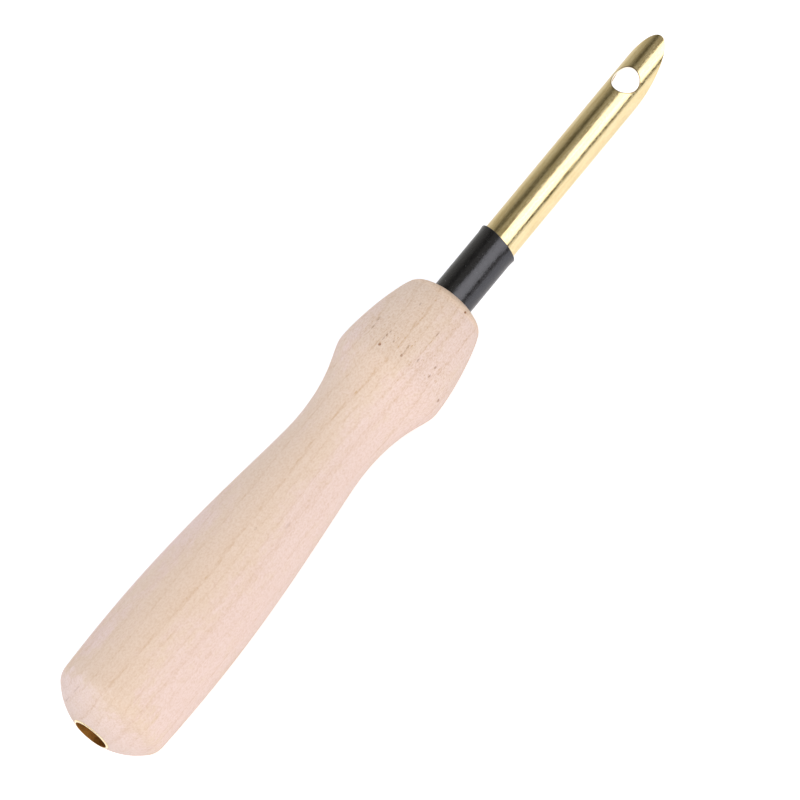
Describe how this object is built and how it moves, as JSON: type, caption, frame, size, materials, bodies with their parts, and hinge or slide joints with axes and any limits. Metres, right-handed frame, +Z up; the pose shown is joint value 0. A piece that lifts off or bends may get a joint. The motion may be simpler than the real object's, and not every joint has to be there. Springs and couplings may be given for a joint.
{
  "type": "punch needle",
  "caption": "Punch needle for yarn: a bevelled brass tube with an eye, held in a turned wooden handle by a black plastic sleeve.",
  "frame": {"origin": "under the middle of the tool, on the surface that it lies on", "axes": "+X along the tool's axis towards the tip, +Z up, so that the eye faces up and the slanted opening down"},
  "size_m": [0.114, 0.0158, 0.0157],
  "materials": {
    "wood": "bare, sanded, matt",
    "brass": "polished",
    "sleeve_plastic": "satin"
  },
  "bodies": {
    "root": {"handle": "wood", "needle_tube": "brass", "sleeve": "sleeve_plastic"}
  },
  "joints": []
}
